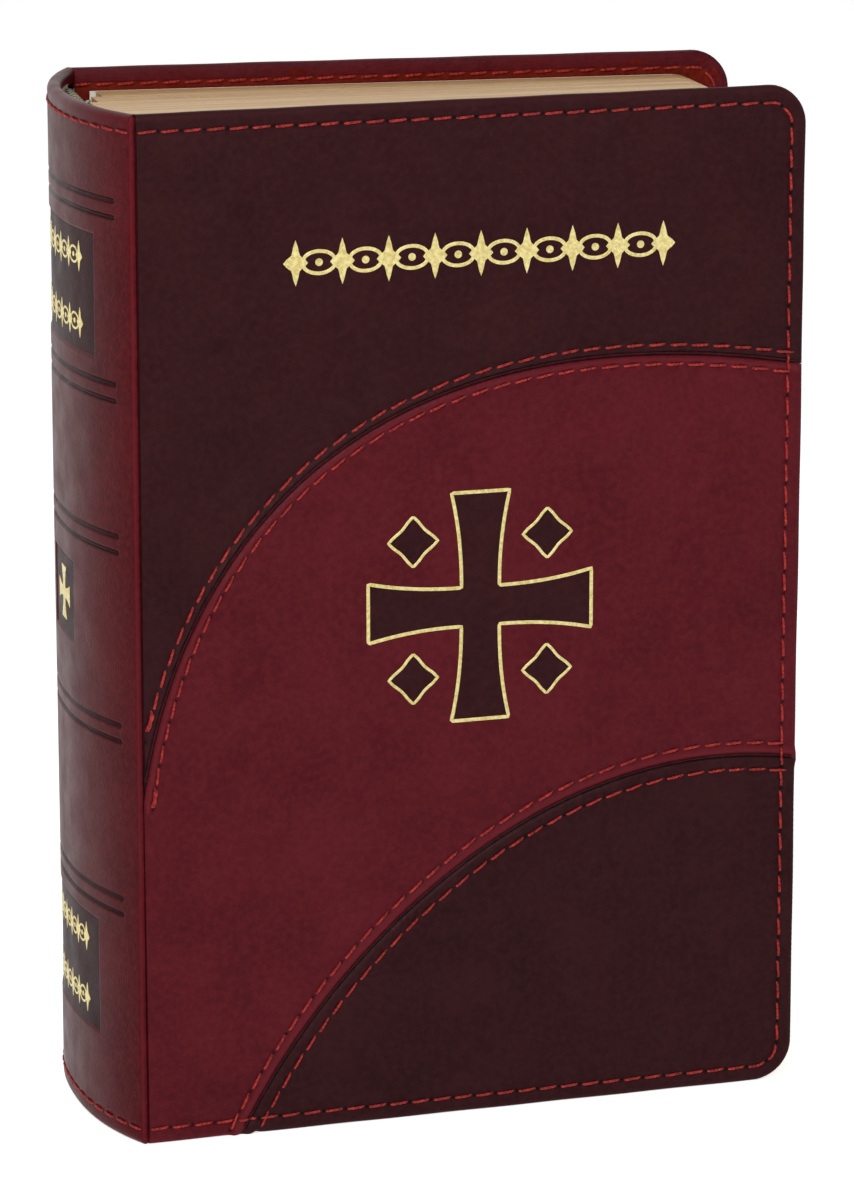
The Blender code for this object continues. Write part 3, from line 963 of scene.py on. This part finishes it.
def spine_rows():
    """Heights of the grid rows: close together where the leather is pressed or sewn."""
    coarse = np.arange(4.0, HEIGHT - 4.0, 1.6)
    fine = []
    for middle in SPINE_BANDS:
        fine.append(np.arange(middle - 2.9, middle + 2.9, 0.18))
    for z0, z1, _ in SPINE_LABELS.values():
        for z in (z0, z1):
            fine.append(np.arange(z - 0.6, z + 0.6, 0.2))
    for end in (0.0, HEIGHT):
        way = 1 if end == 0.0 else -1
        fine.append(end + way * np.arange(-WRAP + EDGE, 4.6, 0.3))
    fine = np.concatenate(fine)
    coarse = coarse[[np.abs(fine - z).min() > 0.5 for z in coarse]]
    rows = np.sort(np.concatenate([coarse, fine]))
    return rows[np.concatenate([[True], np.diff(rows) > 0.1])]


def spine():
    limit = -SPINE.corner - SHOULDER
    rows = spine_rows()
    edges = [reach for _, _, reach in LABEL_AREAS.values()] + [BAND_END]
    columns = [np.arange(0.0, limit, 1.0)]
    for edge in edges:
        columns.append(np.arange(edge - 0.6, edge + 0.6, 0.2))
    columns = np.sort(np.concatenate(columns + [[limit]]))
    columns = columns[(columns <= limit)]
    columns = columns[np.concatenate([[True], np.diff(columns) > 0.12])]
    columns[-1] = limit
    both = np.concatenate([-columns[:0:-1], columns])
    grid_sheet("spine_leather_skin", SPINE, both, rows, SPINE_LEATHER, "spine_leather",
               "spine_leather", "spine", ("spine_cover",))
    end = -SPINE.corner + LAP + 0.8
    strip = np.concatenate([np.linspace(limit, -SPINE.corner - 1.2, 6)[:-1],
                            np.linspace(-SPINE.corner - 1.2, end, 18)])
    for name, way in (("front", -1), ("back", 1)):
        columns = strip if way > 0 else -strip[::-1]
        piece = grid_sheet(f"{name}_hinge_leather", SPINE, columns, rows, SPINE_LEATHER, "spine_leather",
                           "spine_leather", None)
        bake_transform(piece)
    for name, z in (("top", HEIGHT - STITCH_INSET), ("bottom", STITCH_INSET)):
        reach = limit + SHOULDER - 0.6
        path = resample(np.array([(-reach, z), (reach, z)]), 1.0)
        stitch_row(f"spine_{name}_stitches", SPINE, path, "spine", (f"spine_thread_{name}",))
    for name in SPINE_LABELS:
        spine_label(name)


def rectangle(half, z0, z1):
    return np.array([(-half, z0), (half, z0), (half, z1), (-half, z1)])


def spine_label(name):
    """A dark pressed label with a generic gold ornament."""
    z0, z1, reach = LABEL_AREAS[name]
    shape = resample_closed(rectangle(reach - 0.25, z0 + 0.25, z1 - 0.25), 0.9)
    thick_sheet(f"{name}_label_patch", SPINE, shape, 0.05, "dark_leather", "dark_leather", "spine",
                (f"{name}_spine_label",), lift=0.04, coarse=1.2)
    middle = (z0 + z1) / 2
    parts = []
    if name == "middle":
        parts.append(filled(SPINE, flared_cross(4.6, 0.9, 1.9, (0.0, middle)), 0.05))
    else:
        for row in (0.27, -0.27):
            z = middle + row * (z1 - z0)
            parts += star_row(SPINE, -reach + 3.5, reach - 3.5, z, 2.6, 6, 0.05)
    finish_piece(f"{name}_label_ornament", *join_parts(parts), "gold_foil", "gold_foil", "spine",
                 (f"{name}_spine_label_foil",))


def headbands():
    for name, z in (("top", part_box("headband_top")[1][2] / MM - 1.2),
                    ("bottom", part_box("headband_bottom")[0][2] / MM + 1.2)):
        low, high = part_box(f"headband_{name}")
        reach = high[1] / MM
        y = np.linspace(-reach, reach, 60)
        x0 = (high[0] / MM) - 2.6
        x1 = (low[0] / MM) + 2.2
        x = x1 + (x0 - x1) * (y / reach) ** 2
        rings = []
        angles = np.linspace(0, 2 * math.pi, 13)[:-1]
        for i in range(len(y)):
            plump = 1.25 + 0.10 * math.sin(y[i] * 2 * math.pi / 2.1)
            rings.append(np.stack([x[i] + plump * np.cos(angles), np.full(12, y[i]),
                                   z + plump * np.sin(angles)], 1) * MM)
        verts = np.concatenate(rings)
        faces = []
        for i in range(len(y) - 1):
            for k in range(12):
                m = (k + 1) % 12
                faces.append((i * 12 + k, i * 12 + m, (i + 1) * 12 + m, (i + 1) * 12 + k))
        faces.append(tuple(range(12))[::-1])
        faces.append(tuple((len(y) - 1) * 12 + k for k in range(12)))
        finish_piece(f"{name}_headband_silk", verts, faces, "headband", "headband", "spine",
                     (f"headband_{name}",))


# ---------------------------------------------------------------- pages

def page_section(number):
    """A block of leaves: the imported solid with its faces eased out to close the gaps."""
    node = f"page_section_{number}"
    mesh = frame["nodes"][node].data.copy()
    block = bmesh.new()
    block.from_mesh(mesh)
    bmesh.ops.remove_doubles(block, verts=block.verts, dist=1e-6)
    block.normal_update()
    for vert in block.verts:
        faces_out = [f.normal.y for f in vert.link_faces if abs(f.normal.y) > 0.7]
        if faces_out:
            vert.co.y += math.copysign(PAGE_EASE * MM, faces_out[0])
    bmesh.ops.dissolve_limit(block, angle_limit=math.radians(1), verts=block.verts, edges=block.edges)
    for face in block.faces:
        face.material_index = 1 if abs(face.normal.y) > 0.7 else 0
        face.smooth = False
    mesh.materials.clear()
    mesh.materials.append(MATERIALS["gilt_pages"])
    mesh.materials.append(MATERIALS["page"])
    block.to_mesh(mesh)
    block.free()
    piece = bpy.data.objects.new(f"leaves_{number}", mesh)
    bpy.context.collection.objects.link(piece)
    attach(piece, node)
    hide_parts(node)


def carried_nodes():
    """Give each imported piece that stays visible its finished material."""
    finish = {"front_board": "board", "back_board": "board", "spine_card": "board", "spine_lining": "cloth",
              "front_pastedown": "paper", "back_pastedown": "paper", "front_flyleaf": "paper",
              "back_flyleaf": "paper"}
    for node, material in finish.items():
        mesh = frame["nodes"][node].data
        mesh.materials.clear()
        mesh.materials.append(MATERIALS[material])


# ---------------------------------------------------------------- stage

def stage():
    """A pale floor that isn't mirrored, two soft lights and a white surround."""
    mesh = bpy.data.meshes.new("floor")
    mesh.from_pydata([(-4, -4, 0), (4, -4, 0), (4, 4, 0), (-4, 4, 0)], [], [(0, 1, 2, 3)])
    material, _, shader = new_material("floor_white", (0.95, 0.95, 0.95), 0.9)
    shader.inputs["Emission Color"].default_value = (1.0, 1.0, 1.0, 1.0)
    shader.inputs["Emission Strength"].default_value = 0.68
    mesh.materials.append(material)
    floor = bpy.data.objects.new("floor", mesh)
    bpy.context.collection.objects.link(floor)
    floor.visible_glossy = False
    surround()
    soft_light("key_light", (-0.42, -0.86, 0.9), 0.7, 11.2)
    soft_light("fill_light", (0.9, -0.7, 0.7), 0.8, 1.5)
    bpy.context.scene.view_settings.view_transform = "Standard"


def surround():
    """A white room that is dimmer on the side the front cover faces."""
    world = bpy.data.worlds.new("surround")
    world.use_nodes = True
    tree = world.node_tree
    direction = add(tree, "ShaderNodeTexCoord")
    axes = add(tree, "ShaderNodeSeparateXYZ")
    tree.links.new(direction.outputs["Generated"], axes.inputs["Vector"])
    level = spread(tree, axes.outputs["Y"], 0.3, 0.8, 0.10, 1.0)
    tree.links.new(level, tree.nodes["Background"].inputs["Strength"])
    tree.nodes["Background"].inputs["Color"].default_value = (1.0, 1.0, 1.0, 1.0)
    bpy.context.scene.world = world


def soft_light(name, place, size, power):
    data = bpy.data.lights.new(name, "AREA")
    data.shape = "SQUARE"
    data.size = size
    data.energy = power
    light = bpy.data.objects.new(name, data)
    light.location = place
    aim = Vector((0.0, 0.0, HEIGHT / 2 * MM)) - Vector(place)
    light.rotation_euler = aim.to_track_quat("-Z", "Y").to_euler()
    bpy.context.collection.objects.link(light)


def camera():
    """The view over the front cover and the spine, from a little above."""
    yaw = VIEW_YAW + TAPER
    pitch = VIEW_PITCH
    along, inward, up = VIEW_TARGET
    target = Vector((HINGE_X + along * math.cos(TAPER) - inward * math.sin(TAPER),
                     -HALF_SPINE + along * math.sin(TAPER) + inward * math.cos(TAPER), up)) * MM
    back = Vector((math.sin(yaw) * math.cos(pitch), -math.cos(yaw) * math.cos(pitch), math.sin(pitch)))
    data = bpy.data.cameras.new("camera")
    data.sensor_width = SENSOR_WIDTH
    data.lens = SENSOR_WIDTH * LENS_RATIO
    view = bpy.data.objects.new("camera", data)
    view.location = target + back * VIEW_DISTANCE * MM
    view.rotation_euler = back.to_track_quat("Z", "Y").to_euler()
    bpy.context.collection.objects.link(view)
    bpy.context.scene.camera = view


SPINE = SpineSurface(lambda points: np.zeros(len(points)))
BAND_END = SPINE.at_y(BAND_REACH)
LABEL_AREAS = {name: (z0, z1, SPINE.at_y(reach)) for name, (z0, z1, reach) in SPINE_LABELS.items()}
SPINE.relief = spine_relief

camera()
stage()
carried_nodes()
front_cover()
back_cover()
cover_lining("front", -1)
cover_lining("back", 1)
spine()
headbands()
for number in range(1, SECTION_COUNT + 1):
    page_section(number)
